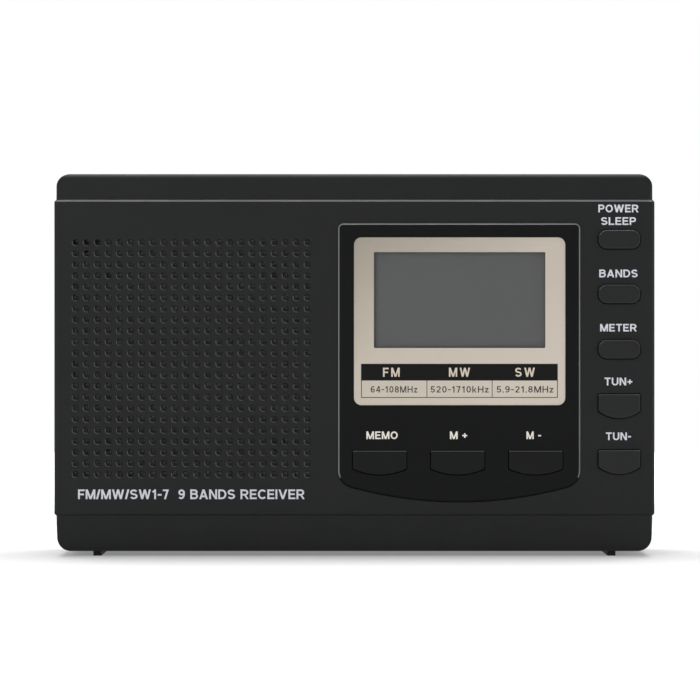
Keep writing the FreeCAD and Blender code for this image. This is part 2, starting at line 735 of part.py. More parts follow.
def make_cells():
    """Two cells head to tail, with a spring and a contact plate at opposite ends of each."""
    cy = bay_floor_y + 0.25 + cell_r
    low_z, high_z = bay_low + 0.45 + cell_r, bay_high - 0.45 - cell_r
    start = bay_left + 6.6
    cells, springs = [], []
    profile = [
        (0, 0),
        (cell_r - 0.4, 0),
        (cell_r, 0.4),
        (cell_r, cell_length - 1.6),
        (cell_r - 0.8, cell_length - 0.9),
        (2.75, cell_length - 0.9),
        (2.75, cell_length),
        (0, cell_length),
    ]
    for z, flip in ((low_z, False), (high_z, True)):
        body = turned("X", profile, start, cy, z)
        if flip:
            place(body, bay_right - 6.6, cy, z, Rotation(Vector(0, 0, 1), 90))
        cells.append(body)
        spring = doc.addObject("Part::Feature", "Spring")
        spring.Shape = coil_spring(3.1, 1.3, 4, 0.28)
        x = bay_right - 6.6 + 5.55 if flip else start - 0.35
        place(spring, x, cy, z, Rotation(Vector(0, 1, 0), -90))
        springs.append(spring)
    group("battery_cells", cells)
    group("battery_springs", springs)
    left = (bay_left + 0.1, bay_left + 0.5)
    right = (bay_right - 0.5, bay_right - 0.1)
    depth = (cy - 5, cy + 5)
    low_span, high_span = (low_z - 5.5, low_z + 5.5), (high_z - 5.5, high_z + 5.5)
    left_dimple = turned("X", [(0, 0.3), (3, 0.3), (2.4, 3.5), (0, 3.5)], bay_left, cy, high_z)
    right_dimple = turned("X", [(0, -3.5), (2.4, -3.5), (3, -0.3), (0, -0.3)], bay_right, cy, low_z)
    group("battery_contacts", [
        box(left, depth, low_span),
        box(right, depth, high_span),
        fuse(box(left, depth, high_span), left_dimple),
        fuse(box(right, depth, low_span), right_dimple),
    ])


def make_stand():
    """The fold-out stand: a frame with its hinge pin at the top."""
    y0, y1 = stand_pivot_y - 1.0, back_y - 0.25
    low, high = stand_low, stand_pivot_z
    width = stand_right - stand_left
    leg = prism("Y", [(stand_left, low), (stand_right, low), (stand_right, high), (stand_left, high)], y0, y1)
    dressed(leg, "Fillet", 2.0, along("Y", lambda p: p.z < 20))
    opening = box((stand_left + 7, stand_right - 7), (y0 - 1, y1 + 1), (low + 9, high - 5))
    top = box((stand_left - 1, stand_right + 1), (stand_pivot_y, y1 + 1), (high - 0.2, high + 3))
    barrel = round_bar("X", stand_left, stand_pivot_y, high, 1.05, width)
    pin = round_bar("X", stand_left - 1.3, stand_pivot_y, high, 0.8, width + 2.6)
    part("stand_leg", cut(fuse(cut(leg, top), barrel, pin), opening))


# ---------------------------------------------------------------- inside
def make_boards():
    """The main board on the front cover's posts, and the side board with the sockets."""
    board = box((-7.5, 65.2), (board_y, board_back), (13.4, 83.4))
    holes = [round_bar("Y", x, board_y - 1, z, 1.0, 4) for x, z in BOARD_SCREWS]
    boss = round_bar("Y", CASE_SCREWS[3][0], board_y - 1, CASE_SCREWS[3][1], 3.1, 4)
    part("main_board", cut(board, boss, *holes))
    part("side_board", box((-64.0, -53.5), (0.4, 1.8), (12.2, 67.4)))


def make_speaker():
    """The speaker behind its cloth; returns the four clamps that hold it."""
    x, z = grille_x, grille_z
    front = inner_y + 0.5
    side = grille_pitch * grille_side / 2 + 0.3
    cloth = box((x - side, x + side), (inner_y + 0.06, inner_y + 0.36), (z - side, z + side))
    reach = 27.2 * math.sqrt(0.5)
    corners = [(reach, reach), (-reach, reach), (-reach, -reach), (reach, -reach)]
    holes = [round_bar("Y", x + dx, inner_y - 1, z + dz, 1.8, 3) for dx, dz in corners]
    holes += [round_bar("Y", px, inner_y - 1, pz, 3.1, 3) for px, pz in CASE_SCREWS[:3]]
    part("speaker_cloth", cut(cloth, *holes))

    basket = [
        (25.0, front),
        (25.0, front + 1.0),
        (22.6, front + 1.0),
        (13.6, -1.4),
        (13.6, -0.2),
        (4.0, -0.2),
        (4.0, -1.0),
        (12.4, -1.0),
        (21.6, front + 0.7),
        (22.4, front),
    ]
    part("speaker_frame", turned("Y", basket, x, 0, z))
    paper = [
        (21.5, front + 0.1),
        (21.5, front + 0.5),
        (20.7, front + 0.9),
        (8.2, -3.6),
        (0, -5.2),
        (0, -5.5),
        (8.0, -4.1),
        (20.5, front + 0.4),
        (20.9, front + 0.1),
    ]
    former = turned("Y", [(6.0, -4.2), (6.5, -4.2), (6.5, -1.3), (6.0, -1.3)], x, 0, z)
    part("speaker_cone", fuse(turned("Y", paper, x, 0, z), former))
    magnet = [
        (0, 0.0),
        (13.2, 0.0),
        (13.2, 1.2),
        (14.5, 1.2),
        (14.5, 5.8),
        (13.0, 5.8),
        (13.0, 7.2),
        (0, 7.2),
    ]
    part("speaker_magnet", turned("Y", magnet, x, 0, z))
    clamp = [
        (0, inner_y + 0.05),
        (1.5, inner_y + 0.05),
        (1.5, front + 1.05),
        (3.2, front + 1.05),
        (3.2, front + 1.8),
        (0, front + 1.8),
    ]
    return [turned("Y", clamp, x + dx, 0, z + dz) for dx, dz in corners]


def make_aerial_rod():
    """The ferrite rod with its coil, held over the board by two clips."""
    rod_y, rod_z = 0.3, lift(78.9)
    part("ferrite_rod", round_bar("X", -1, rod_y, rod_z, 3.5, 50))
    part("aerial_coil", turned("X", [(3.6, 12), (4.1, 12), (4.1, 28), (3.6, 28)], 0, rod_y, rod_z))
    clips = []
    for x in (4.0, 40.0):
        block = box((x, x + 3), (board_back, rod_y + 4.1), (rod_z - 4.6, rod_z + 2.4))
        clips.append(cut(block, round_bar("X", x - 1, rod_y, rod_z, 3.55, 5)))
    group("ferrite_clips", clips)


def make_board_parts():
    """The tuner's shield, the chips and the capacitors on the back of the main board."""
    outer = box((4, 24), (board_back, board_back + 3.6), (50, 68))
    part("tuner_shield", cut(outer, box((4.3, 23.7), (board_back - 1, board_back + 3.3), (50.3, 67.7))))
    chips = [
        ((28, 38), 1.6, (54, 64)),
        ((4, 12), 1.4, (41, 46)),
        ((18, 32), 1.5, (40.5, 46.5)),
        ((-4, 1), 1.2, (56, 62)),
    ]
    group("board_chips", [box(x, (board_back, board_back + high), z) for x, high, z in chips])
    cans = []
    sizes = [
        (43.5, 58.0, 2.6, 7.5),
        (36.5, 43.0, 3.1, 8.5),
        (44.5, 43.5, 3.1, 8.5),
        (43.5, 65.5, 2.0, 5.5),
    ]
    for x, z, r, h in sizes:
        cans.append(turned("Y", [(0, 0), (r, 0), (r, h - 0.3), (r - 0.3, h), (0, h)], x, board_back, z))
    group("board_capacitors", cans)


def make_volume():
    """The volume control and the notched wheel that stands out of the case's side."""
    rim = [
        (0, -2.4),
        (2.0, -2.4),
        (2.0, 1.3),
        (wheel_r, 1.3),
        (wheel_r, 4.1),
        (wheel_r - 1.2, 4.1),
        (wheel_r - 2.0, 3.6),
        (0, 3.6),
    ]
    outer = turned("Y", rim, wheel_x, 0, wheel_z)
    notch = Part.makeCylinder(0.32, 4, Vector(wheel_r.value + 0.1, 0.8, 0), Vector(0, 1, 0))
    count = 44
    ring = [notch.rotated(Vector(), Vector(0, 1, 0), 360 * i / count) for i in range(count)]
    notches = doc.addObject("Part::Feature", "WheelNotches")
    notches.Shape = Part.makeCompound(ring)
    place(notches, wheel_x, 0, wheel_z)
    part("volume_wheel", cut(outer, notches))
    body = box((wheel_x - 5.5, wheel_x + 5.5), (board_back, 0.5), (wheel_z - 5.5, wheel_z + 5.5))
    part("volume_control", cut(body, round_bar("Y", wheel_x, board_back + 1, wheel_z, 2.06, 6)))


def make_side_parts():
    """The hold switch and the two sockets on the left side."""
    grip = box((-face_half + 0.3, -inner_half + 1.0), (2.1, 4.9), (HOLD_Z - 1.6, HOLD_Z + 1.6))
    slider = box((-inner_half + 0.2, -inner_half + 1.6), (1.2, 5.8), (HOLD_Z - 2.4, HOLD_Z + 2.4))
    part("hold_knob", fuse(grip, slider))
    part("hold_switch_body", box((-63.9, -58.0), (1.9, 6.2), (HOLD_Z - 6, HOLD_Z + 6)))

    y, z = PHONES
    start = -inner_half + 0.15
    body = box((start, start + 11.8), (1.9, y + 3.1), (z - 3.3, z + 3.3))
    part("phones_jack", cut(body, round_bar("X", start - 1, y, z, 1.8, 12)))
    y, z = SUPPLY
    body = box((start, start + 8.8), (1.9, y + 4.2), (z - 4.2, z + 4.2))
    barrel = cut(body, round_bar("X", start - 1, y, z, 2.9, 8.8))
    part("power_jack", fuse(barrel, round_bar("X", start + 3.0, y, z, 0.65, 5.2)))


# ---------------------------------------------------------------- whip aerial
def make_turret(x, y, z):
    """The slotted turret the aerial folds in, and the screw that holds it from inside."""
    foot = shelf_z + 0.1
    column = round_bar("Z", x, y, foot, turret_r, z + turret_r - foot)
    low_block = box((x - 4, x + 4), (y - 4, y + 4), (foot, z))
    dome = round_bar("Y", x, y - 4, z, turret_r, 8)
    spigot = round_bar("Z", x, y, shelf_z - wall - 1.4, 2.05, wall + 1.6)
    shaped = fuse(common(column, fuse(low_block, dome)), spigot)
    slot = box((x - 4, x + 4), (y - 1.3, y + 1.3), (foot + 1.9, z + 6))
    pin_bore = round_bar("Y", x, y - 4, z, 1.05, 8)
    screw_bore = round_bar("Z", x, y, shelf_z - wall - 2, 0.8, 3.5)
    part("aerial_turret", cut(shaped, slot, pin_bore, screw_bore))
    screw = [(0, -4.3), (2.5, -4.3), (2.5, -3.3), (0.75, -3.3), (0.75, -1.2), (0, -1.2)]
    part("aerial_turret_screw", turned("Z", screw, x, y, shelf_z))
    part("aerial_pivot_pin", round_bar("Y", x, y - 2.75, z, 1.0, 5.5))


def make_whip():
    """The whip: a knuckle on the pin, four tubes one inside another, and the tip rod, all pushed in."""
    x, y, z = mast_x, mast_y, mast_z
    make_turret(x, y, z)
    eye = round_bar("Y", x, y - 1.2, z, 2.2, 2.4)
    tongue = fuse(eye, box((x - 4.2, x), (y - 1.2, y + 1.2), (z - 2.2, z + 2.2)))
    ring = [(0, -7.6), (tube_r, -7.6), (tube_r, -4.2), (tube_r - 0.5, -3.7), (0, -3.7)]
    collar = turned("X", ring, x, y, z)
    part("aerial_knuckle", cut(fuse(tongue, collar), round_bar("Y", x, y - 2, z, 1.05, 4)))

    # each tube slides in the one before it and stands a little further out at its free end
    root = x - 7.6
    for i in range(4):
        r = tube_r - tube_step * i
        start = root - 1.0 * i
        free = root - tube_length - 0.8 * i - start
        bore = r - tube_skin
        crimp = r - (0.0 if i == 3 else 0.1)
        tube = [(bore, 0), (r, 0), (r, free + 1.5), (crimp, free + 0.6), (crimp, free), (bore, free)]
        part(f"aerial_tube_{i + 1}", turned("X", tube, start, y, z))
    start = root - 4.0
    free = root - tube_length - 3.4 - start
    rod = tube_r - tube_step * 4
    tip = [
        (0, 0),
        (rod, 0),
        (rod, free),
        (2.3, free),
        (2.5, free - 0.4),
        (2.5, free - 3.2),
        (2.0, free - 3.8),
        (0, free - 3.8),
    ]
    part("aerial_tip_rod", turned("X", tip, start, y, z))


# ---------------------------------------------------------------- build and export
def main():
    """Builds every sub-part, checks it, and writes it to a file of its own."""
    make_keys()
    make_display()
    make_front_cover()
    make_rear_cover()
    make_battery_door()
    make_cells()
    make_stand()
    make_boards()
    make_screws(make_speaker())
    make_aerial_rod()
    make_board_parts()
    make_volume()
    make_side_parts()
    make_whip()
    doc.recompute()

    failed = [o.Name for o in doc.Objects if "Invalid" in o.State or "Error" in o.State]
    if failed:
        raise RuntimeError(f"these objects failed: {failed}")
    os.makedirs("parts", exist_ok=True)
    for obj in PARTS:
        shape = obj.Shape
        if shape.isNull() or not shape.isValid() or not shape.Solids:
            raise RuntimeError(f"{obj.Label} has no valid solid")
        shape.exportStep(os.path.join("parts", f"{obj.Label}.step"))
        print(f"{obj.Label}: {len(shape.Solids)} solids, {shape.Volume:.1f} mm3")
    print(len(PARTS), "sub-parts")


main()
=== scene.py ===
import json
import math

import bmesh
import bpy
from mathutils import Matrix, Vector


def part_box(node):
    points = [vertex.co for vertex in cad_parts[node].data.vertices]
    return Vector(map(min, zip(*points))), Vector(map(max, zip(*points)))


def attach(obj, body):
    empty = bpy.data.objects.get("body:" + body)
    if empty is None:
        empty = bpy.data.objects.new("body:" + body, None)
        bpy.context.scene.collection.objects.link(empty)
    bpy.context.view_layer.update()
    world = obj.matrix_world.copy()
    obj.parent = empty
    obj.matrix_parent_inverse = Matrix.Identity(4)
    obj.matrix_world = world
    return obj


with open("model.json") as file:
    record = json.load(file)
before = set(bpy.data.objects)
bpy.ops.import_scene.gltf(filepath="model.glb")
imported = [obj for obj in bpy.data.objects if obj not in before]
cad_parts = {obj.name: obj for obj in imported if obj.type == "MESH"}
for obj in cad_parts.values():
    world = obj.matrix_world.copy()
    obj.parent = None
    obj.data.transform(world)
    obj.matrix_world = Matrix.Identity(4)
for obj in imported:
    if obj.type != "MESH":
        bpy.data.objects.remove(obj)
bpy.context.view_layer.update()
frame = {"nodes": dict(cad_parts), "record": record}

MM = 0.001
FACE_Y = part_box("front_cover")[0].y
BEZEL_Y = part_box("display_bezel")[0].y
DIAL_LOW, DIAL_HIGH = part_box("dial_plate")
GRILLE_LOW, GRILLE_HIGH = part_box("speaker_cloth")
SCENE = bpy.context.scene
INK_THICK = 0.012 * MM
WHITE = (1, 1, 1, 1)


# ---------------------------------------------------------------- materials
def srgb(*values):
    """Linear colour from 0-255 display values."""
    out = []
    for v in values:
        v = v / 255
        out.append(v / 12.92 if v <= 0.04045 else ((v + 0.055) / 1.055) ** 2.4)
    return (*out, 1.0)


class Shade:
    """A material being built: a Principled shader plus small helpers that hang nodes on it."""

    def __init__(self, name, rough=0.5, metal=0.0, specular=0.5):
        self.material = bpy.data.materials.new(name)
        self.material.use_nodes = True
        self.nodes = self.material.node_tree.nodes
        self.links = self.material.node_tree.links
        self.shader = self.nodes["Principled BSDF"]
        self.shader.inputs["Roughness"].default_value = rough
        self.shader.inputs["Metallic"].default_value = metal
        self.shader.inputs["Specular IOR Level"].default_value = specular
        self.place = self.nodes.new("ShaderNodeTexCoord").outputs["Object"]
        self.normal = None

    def stretched(self, scale):
        """The object's own coordinates, stretched by three factors."""
        node = self.nodes.new("ShaderNodeMapping")
        node.inputs["Scale"].default_value = scale
        self.links.new(self.place, node.inputs["Vector"])
        return node.outputs["Vector"]

    def noise(self, size_mm, detail=3.0, rough=0.55, stretch=None):
        """Noise with features of about that size."""
        node = self.nodes.new("ShaderNodeTexNoise")
        node.inputs["Scale"].default_value = 1.0 / (size_mm * MM)
        node.inputs["Detail"].default_value = detail
        node.inputs["Roughness"].default_value = rough
        self.links.new(self.stretched(stretch) if stretch else self.place, node.inputs["Vector"])
        return node.outputs["Fac"]

    def cells(self, size_mm, feature="F1"):
        """Cells of about that size: the distance to each cell's point, or to its edge."""
        node = self.nodes.new("ShaderNodeTexVoronoi")
        node.feature = feature
        node.inputs["Scale"].default_value = 1.0 / (size_mm * MM)
        self.links.new(self.place, node.inputs["Vector"])
        return node.outputs["Distance"]

    def ramp(self, fac, stops):
        """A colour ramp through (position, colour) stops."""
        node = self.nodes.new("ShaderNodeValToRGB")
        elements = node.color_ramp.elements
        while len(elements) < len(stops):
            elements.new(0.5)
        for element, (position, colour) in zip(elements, stops):
            element.position = position
            element.color = colour
        self.links.new(fac, node.inputs["Fac"])
        return node.outputs["Color"]

    def colour(self, fac, stops):
        """The base colour from a ramp."""
        self.links.new(self.ramp(fac, stops), self.shader.inputs["Base Color"])

    def tint(self, fac, colour, spread):
        """The colour varied up and down by a share of itself."""
        low = (*[c * (1 - spread) for c in colour[:3]], 1.0)
        high = (*[c * (1 + spread) for c in colour[:3]], 1.0)
        self.colour(fac, [(0.3, low), (0.7, high)])

    def rough(self, fac, low, high):
        """Roughness between two values."""
        node = self.nodes.new("ShaderNodeMapRange")
        node.inputs["From Min"].default_value = 0.3
        node.inputs["From Max"].default_value = 0.7
        node.inputs["To Min"].default_value = low
        node.inputs["To Max"].default_value = high
        self.links.new(fac, node.inputs["Value"])
        self.links.new(node.outputs["Result"], self.shader.inputs["Roughness"])

    def bump(self, height, depth_mm):
        """Adds relief; several calls stack."""
        node = self.nodes.new("ShaderNodeBump")
        node.inputs["Distance"].default_value = depth_mm * MM
        self.links.new(height, node.inputs["Height"])
        if self.normal:
            self.links.new(self.normal, node.inputs["Normal"])
        self.normal = node.outputs["Normal"]
        self.links.new(self.normal, self.shader.inputs["Normal"])


def moulded(name, colour, rough, grain=0.22, depth=0.012, specular=0.35):
    """Moulded plastic: a spark-eroded grain, slow colour drift and handling gloss."""
    s = Shade(name, rough, specular=specular)
    s.tint(s.noise(9.0, 4.0), colour, 0.06)
    s.rough(s.noise(14.0, 5.0, 0.65), rough - 0.06, rough + 0.06)
    s.bump(s.noise(grain, 2.0), depth)
    s.bump(s.cells(grain * 1.7), depth * 0.5)
    return s.material


def metal(name, colour, rough, brushed=None, depth=0.002):
    """Bare or plated metal, with fine lines along one axis if brushed."""
    s = Shade(name, rough, metal=1.0)
    s.tint(s.noise(6.0, 4.0), colour, 0.05)
    s.rough(s.noise(1.2, 6.0, 0.7, brushed), rough * 0.75, rough * 1.3)
    s.bump(s.noise(0.25, 3.0, 0.6, brushed), depth)
    return s.material


def clear(name):
    """A clear acrylic window: it shows what is behind it and gives a faint reflection."""
    s = Shade(name, 0.12, specular=0.5)
    through = s.nodes.new("ShaderNodeBsdfTransparent")
    through.inputs["Color"].default_value = (0.93, 0.94, 0.94, 1)
    gloss = s.nodes.new("ShaderNodeBsdfGlossy")
    gloss.inputs["Roughness"].default_value = 0.18
    edge = s.nodes.new("ShaderNodeFresnel")
    edge.inputs["IOR"].default_value = 1.3
    film = s.nodes.new("ShaderNodeBump")
    film.inputs["Distance"].default_value = 0.002 * MM
    s.links.new(s.noise(3.0), film.inputs["Height"])
    s.links.new(film.outputs["Normal"], gloss.inputs["Normal"])
    mix = s.nodes.new("ShaderNodeMixShader")
    s.links.new(edge.outputs["Fac"], mix.inputs["Fac"])
    s.links.new(through.outputs["BSDF"], mix.inputs[1])
    s.links.new(gloss.outputs["BSDF"], mix.inputs[2])
    s.links.new(mix.outputs["Shader"], s.nodes["Material Output"].inputs["Surface"])
    return s.material


def champagne():
    """Satin metallic paint: pearl flakes under a soft gloss, with painted light and shade: darker at the top
    left, lighter at the bottom right.
    """
    s = Shade("champagne_paint", 0.4, metal=0.5, specular=0.5)
    size = DIAL_HIGH - DIAL_LOW
    rightward, downward = 0.45 / size.x, 0.55 / size.z
    axis = s.nodes.new("ShaderNodeMapping")
    axis.inputs["Location"].default_value = (-DIAL_LOW.x * rightward, 0, DIAL_HIGH.z * downward)
    axis.inputs["Scale"].default_value = (rightward, 0, -downward)
    # painted light and shade: the colour rises from the plate's top left to its bottom right, under the
    # flake noise
    parts = s.nodes.new("ShaderNodeSeparateXYZ")
    spread = s.nodes.new("ShaderNodeMath")
    flakes = s.nodes.new("ShaderNodeMath")
    flakes.operation = "MULTIPLY_ADD"
    flakes.inputs[1].default_value = 0.3
    s.links.new(s.place, axis.inputs["Vector"])
    s.links.new(axis.outputs["Vector"], parts.inputs["Vector"])
    s.links.new(parts.outputs["X"], spread.inputs[0])
    s.links.new(parts.outputs["Z"], spread.inputs[1])
    s.links.new(s.noise(0.12, 2.0, 0.7), flakes.inputs[0])
    s.links.new(spread.outputs["Value"], flakes.inputs[2])
    stops = [(0.15, srgb(164, 156, 143)), (0.6, srgb(200, 191, 177)), (1.0, srgb(208, 198, 185))]
    s.colour(flakes.outputs["Value"], stops)
    s.rough(s.noise(8.0, 4.0), 0.36, 0.46)
    s.bump(s.cells(0.14), 0.004)
    return s.material


def display_grey():
    """An unlit liquid-crystal display: flat grey with a faint mottle."""
    s = Shade("display_grey", 0.42, specular=0.3)
    s.tint(s.noise(5.0, 3.0), srgb(120, 119, 118), 0.012)
    s.bump(s.noise(0.3), 0.003)
    return s.material


def board():
    """Green solder mask over a faint pattern of copper."""
    s = Shade("solder_mask", 0.35)
    tracks = s.cells(2.6, "DISTANCE_TO_EDGE")
    s.colour(tracks, [(0.02, srgb(66, 122, 70)), (0.08, srgb(20, 84, 44)), (1.0, srgb(16, 72, 38))])
    s.rough(s.noise(4.0), 0.3, 0.42)
    s.bump(tracks, 0.03)
    return s.material


def cell_wrap():
    """A cell's sleeve: dark body and a gold end, across the bay."""
    s = Shade("cell_sleeve", 0.28)
    dark, gold = srgb(30, 32, 38), srgb(176, 134, 70)
    axis = s.nodes.new("ShaderNodeSeparateXYZ")
    s.links.new(s.place, axis.inputs["Vector"])
    s.colour(axis.outputs["X"], [(0.0, dark), (0.04, dark), (0.041, gold), (1.0, gold)])
    s.rough(s.noise(2.0, 5.0), 0.22, 0.34)
    s.bump(s.noise(4.0), 0.01)
    return s.material


def wound():
    """Enamelled wire wound round the ferrite rod."""
    s = Shade("wound_wire", 0.3, metal=0.6)
    wave = s.nodes.new("ShaderNodeTexWave")
    wave.bands_direction = "X"
    wave.inputs["Scale"].default_value = 500
    s.links.new(s.place, wave.inputs["Vector"])
    s.colour(wave.outputs["Fac"], [(0.0, srgb(70, 26, 10)), (1.0, srgb(176, 92, 44))])
    s.rough(s.noise(2.0), 0.25, 0.4)
    s.bump(wave.outputs["Fac"], 0.08)
    return s.material


def woven():
    """Open speaker cloth: two sets of threads that cross."""
    s = Shade("speaker_cloth", 0.85, specular=0.15)
    threads = []
    for direction in ("X", "Z"):
        wave = s.nodes.new("ShaderNodeTexWave")
        wave.bands_direction = direction
        wave.inputs["Scale"].default_value = 700
        wave.inputs["Distortion"].default_value = 0.6
        s.links.new(s.place, wave.inputs["Vector"])
        threads.append(wave.outputs["Fac"])
    cross = s.nodes.new("ShaderNodeMath")
    cross.operation = "MAXIMUM"
    s.links.new(threads[0], cross.inputs[0])
    s.links.new(threads[1], cross.inputs[1])
    s.colour(cross.outputs["Value"], [(0.2, srgb(110, 110, 112)), (0.9, srgb(160, 160, 163))])
    s.rough(s.noise(3.0), 0.78, 0.9)
    s.bump(cross.outputs["Value"], 0.05)
    return s.material


FINISHES = {
    "case_black": moulded("case_plastic", srgb(25, 26, 27), 0.56, 0.22, 0.014, 0.21),
    "key_black": moulded("key_plastic", srgb(26, 27, 27), 0.46, 0.18, 0.007, 0.24),
    "wheel_black": moulded("wheel_plastic", srgb(33, 33, 34), 0.45, 0.2, 0.01, 0.4),
    "switch_plunger": moulded("plunger_plastic", srgb(186, 184, 176), 0.4),
    "switch_black": moulded("socket_plastic", srgb(30, 30, 31), 0.4, 0.3, 0.008, 0.5),
    "bezel_black": moulded("bezel_plastic", srgb(11, 13, 12), 0.46, 0.16, 0.006, 0.12),
    "dial_champagne": champagne(),
    "lens_clear": clear("window_acrylic"),
    "lcd_grey": display_grey(),
    "zebra_rubber": moulded("contact_rubber", srgb(50, 50, 50), 0.8),
    "light_guide": moulded("light_guide_acrylic", srgb(222, 226, 220), 0.3),
    "frame_white": moulded("frame_plastic", srgb(216, 216, 210), 0.5),
    "screw_steel": metal("zinc_plate", srgb(150, 150, 154), 0.36),
    "cell_wrap": cell_wrap(),
    "contact_nickel": metal("nickel_plate", srgb(196, 194, 186), 0.3),
    "board_green": board(),
    "basket_steel": moulded("basket_paint", srgb(46, 46, 48), 0.4, 0.5, 0.01, 0.5),
    "cone_paper": moulded("cone_paper", srgb(44, 43, 42), 0.85, 0.5, 0.06, 0.2),
    "magnet_dark": moulded("magnet_ferrite", srgb(70, 70, 72), 0.6, 0.4, 0.02),
    "ferrite": moulded("rod_ferrite", srgb(58, 58, 62), 0.55, 0.4, 0.02),
    "coil_copper": wound(),
    "chip_black": moulded("chip_epoxy", srgb(30, 30, 31), 0.5, 0.15, 0.006),
    "capacitor_sleeve": moulded("capacitor_sleeve", srgb(28, 40, 84), 0.3, 0.6, 0.006, 0.5),
    "aerial_chrome": metal("chrome_plate", srgb(206, 206, 208), 0.13, (0.2, 3.0, 3.0), 0.0008),
}


def ink(name, colour, rough=0.5, specular=0.35):
    """Pad-printed ink: a slightly uneven film."""
    s = Shade(name, rough, specular=specular)
    s.tint(s.noise(0.8, 3.0), colour, 0.03)
    s.rough(s.noise(0.6, 4.0), rough - 0.07, rough + 0.07)
    s.bump(s.noise(0.2), 0.004)
    return s.material


INK_WHITE = ink("ink_white", srgb(206, 206, 214))
INK_BEZEL = ink("ink_warm_white", srgb(226, 221, 211))
INK_BLACK = ink("ink_black", srgb(15, 15, 15), 0.42, 0.14)
INK_DARK = ink("ink_dark", srgb(46, 42, 38))
INK_GOLD = ink("ink_champagne", srgb(206, 194, 178), 0.45)

# painted highlights: lighter colours on bevels where the light catches them, and the memory keys' darker
# plastic
# painted highlight: a light grey on the top bevel of the face
FACE_EDGE_HIGHLIGHT = moulded("face_edge_painted_highlight", srgb(92, 93, 94), 0.5, 0.3, 0.003, 0.25)
# painted highlight: a lighter grey on the bevel round the top and sides of the bezel
BEZEL_EDGE_HIGHLIGHT = moulded("bezel_edge_painted_highlight", srgb(112, 113, 114), 0.34, 0.3, 0.003, 0.45)
# painted highlight: a light grey on the lower and left rims of the grille holes
HOLE_RIM_HIGHLIGHT = moulded("hole_rim_painted_highlight", srgb(84, 85, 86), 0.5, 0.3, 0.003, 0.2)
DARK_KEY = moulded("dark_key_plastic", srgb(17, 18, 18), 0.44, 0.18, 0.007, 0.14)
# painted highlight: a light grey on the upper half of each key's rounded edge
KEY_EDGE_HIGHLIGHT = moulded("key_edge_painted_highlight", srgb(74, 75, 76), 0.32, 0.3, 0.003, 0.5)


def upward_bevel(normal, middle):
    """The bevel along the top of the raised face."""
    on_top = middle.y < FACE_Y + 0.5 * MM and middle.z > GRILLE_HIGH.z
    return on_top and normal.y < -0.6 and normal.z > 0.6


def in_grille(middle):
    """Whether a point lies in the square of the grille, at any depth."""
    return GRILLE_LOW.x < middle.x < GRILLE_HIGH.x and GRILLE_LOW.z < middle.z < GRILLE_HIGH.z


def hole_bevel(normal, middle):
    """The lower and left part of the bevel round each hole of the grille."""
    return in_grille(middle) and -0.95 < normal.y < -0.3 and normal.x + normal.z > 0.3


def hole_floor(normal, middle):
    """The closed ends of the holes that meet a screw post, which the cloth can't cover."""
    return in_grille(middle) and normal.y < -0.9 and middle.y > FACE_Y + 2.5 * MM


def bezel_bevel(normal, middle):
    """The bevel round the top and sides of the display bezel."""
    on_rim = middle.y < BEZEL_Y + 0.4 * MM and middle.z > 15 * MM
    return on_rim and -0.85 < normal.y < -0.4 and normal.z > -0.3


def behind_grille(normal, middle):
    """The ends of the speaker's clamps, which touch the cloth."""
    return normal.y < -0.5 and middle.x < GRILLE_HIGH.x and middle.y < FACE_Y + 4 * MM


def key_rim(normal, middle):
    """The upper half of a key's rounded edge."""
    return -0.92 < normal.y < -0.1 and normal.z > 0.25 and middle.y < FACE_Y


def refinish_faces(name, material, chosen):
    """One more material on the faces that pass a test."""
    mesh = frame["nodes"][name].data
    mesh.materials.append(material)
    for face in mesh.polygons:
        if chosen(face.normal, face.center):
            face.material_index = len(mesh.materials) - 1


def paint_nodes():
    """Gives each node its finish, and a second one to some faces: painted highlights on bevels and rims, the
    cloth on closed hole ends, and black on the clamp ends.
    """
    slots = {part["node"]: part["material_slot"] for part in frame["record"]["subparts"]}
    for name, node in frame["nodes"].items():
        node.data.materials.clear()
        node.data.materials.append(FINISHES[slots[name]])
        node.data.polygons.foreach_set("material_index", [0] * len(node.data.polygons))
    cloth = woven()
    frame["nodes"]["speaker_cloth"].data.materials[0] = cloth
    # painted highlight on the face's top bevel
    refinish_faces("front_cover", FACE_EDGE_HIGHLIGHT, upward_bevel)
    # painted highlight on the lower and left rims of the grille holes
    refinish_faces("front_cover", HOLE_RIM_HIGHLIGHT, hole_bevel)
    refinish_faces("front_cover", cloth, hole_floor)
    # painted highlight on the bezel's bevel
    refinish_faces("display_bezel", BEZEL_EDGE_HIGHLIGHT, bezel_bevel)
    refinish_faces("board_and_speaker_screws", FINISHES["switch_black"], behind_grille)
    for name in frame["nodes"]:
        if name.endswith("_button"):
            if name.startswith("memory"):
                frame["nodes"][name].data.materials[0] = DARK_KEY
            # painted highlight on the upper rim of every key
            refinish_faces(name, KEY_EDGE_HIGHLIGHT, key_rim)


# ---------------------------------------------------------------- printed marks
def sweep(cx, cy, rx, ry, start, end):
    """Points along part of an ellipse, between two angles in degrees."""
    steps = max(4, round(abs(end - start) / 15))
    turns = [math.radians(start + (end - start) * i / steps) for i in range(steps + 1)]
    return [(cx + rx * math.cos(t), cy + ry * math.sin(t)) for t in turns]


def flip(strokes, width):
    """The same strokes turned half round, as a 9 is from a 6."""
    turned = []
    for kind, *points in strokes:
        turned.append((kind, *[(width - x, 1 - y) for x, y in points]))
    return turned


STEM = ("pen", (0.09, 0), (0.09, 1))
SIX = [("pen", *sweep(0.31, 0.31, 0.22, 0.22, 0, 360)), ("pen", *sweep(0.35, 0.5, 0.26, 0.41, 48, 205))]
